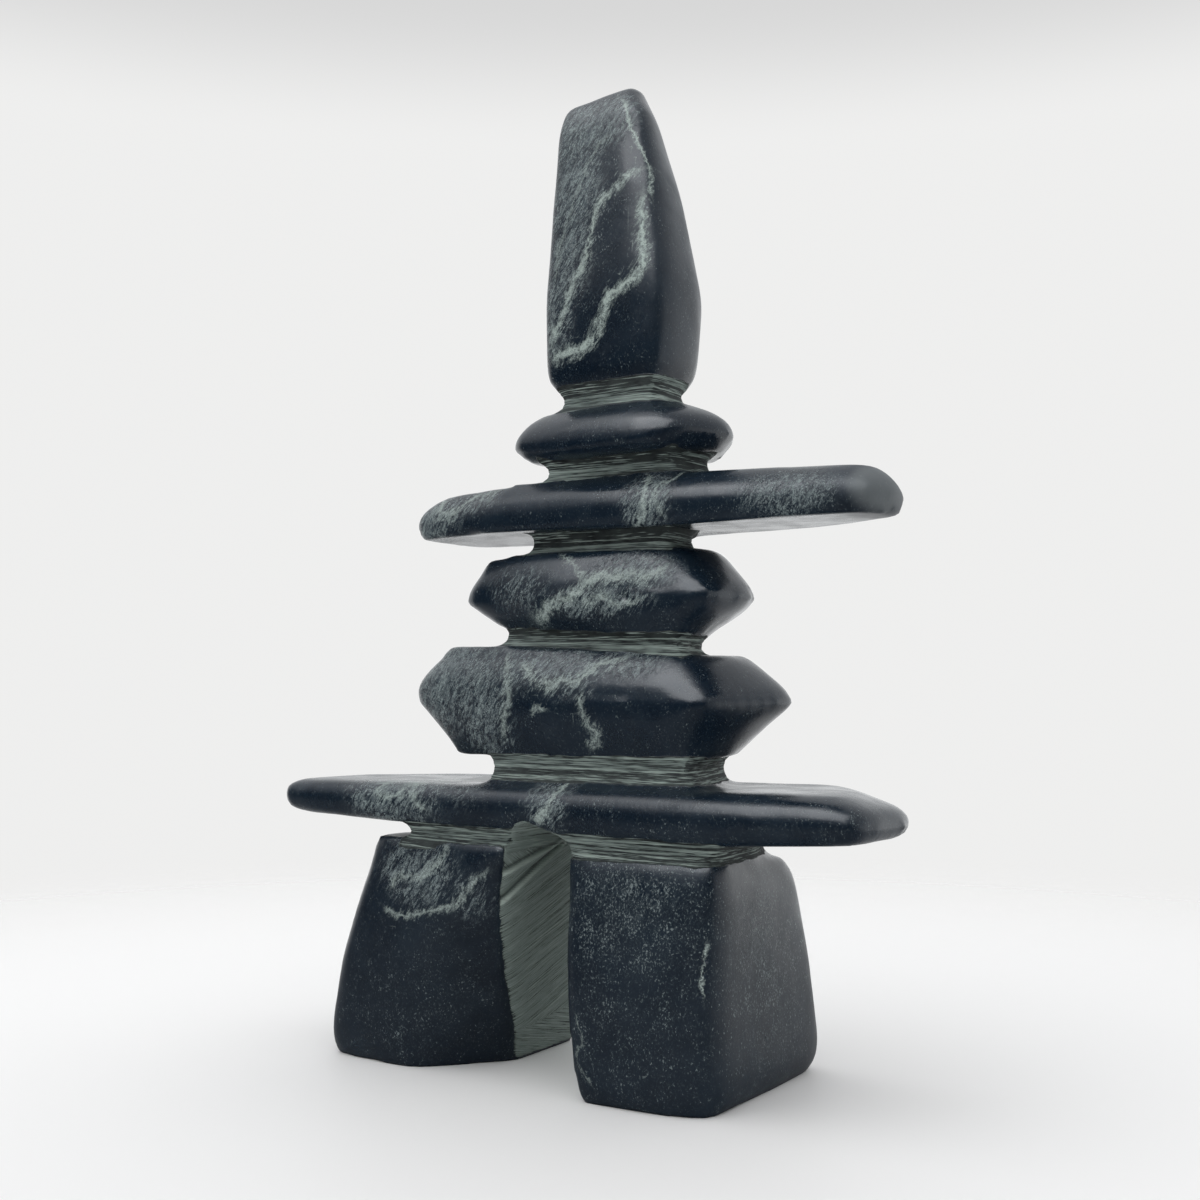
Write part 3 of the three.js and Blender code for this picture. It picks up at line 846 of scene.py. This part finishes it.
def pale_floor():
    """A round pale sweep that fades out far from the figure. The polish mirrors it darker."""
    bm = bmesh.new()
    bmesh.ops.create_circle(bm, cap_ends=True, segments=96, radius=1.6)
    mesh = bpy.data.meshes.new("floor")
    bm.to_mesh(mesh)
    bm.free()
    floor = bpy.data.objects.new("floor", mesh)
    bpy.context.scene.collection.objects.link(floor)
    material = bpy.data.materials.new("pale_sweep")
    material.use_nodes = True
    t = Nodes(material.node_tree)
    place = t.add("ShaderNodeTexCoord").outputs["Object"]
    far = t.add("ShaderNodeVectorMath", {0: place}, operation="LENGTH").outputs["Value"]
    ray = t.add("ShaderNodeLightPath").outputs
    _x, depth, _z = t.parts(place)
    mirrored = t.times(ray["Is Glossy Ray"], t.step(depth, -0.06, 0.06, 1.0, 0.5))
    tone = t.mix(mirrored, FLOOR, FLOOR_IN_MIRROR)
    white = t.add("ShaderNodeBsdfPrincipled", {"Base Color": tone, "Roughness": 0.6})
    clear = t.add("ShaderNodeBsdfTransparent")
    fade = t.step(far, 0.17, 0.55)
    both = t.add("ShaderNodeMixShader", {0: fade, 1: white.outputs[0], 2: clear.outputs[0]})
    t.add("ShaderNodeOutputMaterial", {"Surface": both.outputs[0]})
    mesh.materials.append(material)


def studio_air():
    """Pale all round to the eye and an even dome for the light. For the polish it is a room that is
    dark low in front, with a broad window high in front and a bright wall behind."""
    world = bpy.data.worlds.new("studio")
    world.use_nodes = True
    t = Nodes(world.node_tree)
    x, y, z = t.parts(t.add("ShaderNodeTexCoord").outputs["Generated"])
    front = t.plus(t.times(x, -0.15), t.times(y, -0.99))
    dim = t.times(t.step(front, -0.30, 0.40), t.step(z, 0.14, 0.62, 1.0, 0.0))
    wall = t.mix(t.step(z, 0.10, 0.45), WALL_LOW, WALL_HIGH)
    mirror = t.mix(dim, wall, DARK_ROOM)
    across = t.times(t.step(x, -0.52, -0.38), t.step(x, 0.40, 0.60, 1.0, 0.0))
    window = t.times(across, t.times(t.step(y, -0.25, -0.05, 1.0, 0.0), t.step(z, 0.37, 0.56)))
    mirror = t.mix(window, mirror, WINDOW)
    even = t.mix(t.step(z, -0.1, 0.6), DOME_LOW, DOME_HIGH)
    seen = t.mix(t.step(z, 0.365, 0.455), BACKDROP, BACKDROP_TOP)
    ray = t.add("ShaderNodeLightPath").outputs
    level = t.mix(ray["Is Glossy Ray"], even, mirror)
    level = t.mix(ray["Is Camera Ray"], level, seen)
    room = t.add("ShaderNodeBackground", {"Color": level, "Strength": 1.0})
    t.add("ShaderNodeOutputWorld", {"Surface": room.outputs[0]})
    bpy.context.scene.world = world


def softbox(name, place, aim, size, power):
    """A rectangular area light at a place in metres, aimed at a point."""
    light = bpy.data.lights.new(name, "AREA")
    light.shape, light.size, light.size_y = "RECTANGLE", *size
    light.energy = power
    lamp = bpy.data.objects.new(name, light)
    lamp.location = place
    lamp.rotation_euler = (Vector(aim) - Vector(place)).to_track_quat("-Z", "Y").to_euler()
    bpy.context.scene.collection.objects.link(lamp)


pale_floor()
studio_air()
softbox("ceiling", (-0.35, -0.30, 1.10), (0.0, 0.0, 0.10), (0.9, 0.9), 2.0)

# The camera stands where the photo was taken from.
camera = bpy.data.objects.new("camera", bpy.data.cameras.new("camera"))
camera.location = (0.19554, -0.32057, 0.09115)
camera.rotation_euler = (radians(94.22), 0.0, radians(31.0))
camera.data.lens, camera.data.sensor_width = 43.5, 36.0
camera.data.clip_start, camera.data.clip_end = 0.01, 20.0
bpy.context.scene.collection.objects.link(camera)
bpy.context.scene.camera = camera
bpy.context.scene.view_settings.view_transform = "Standard"
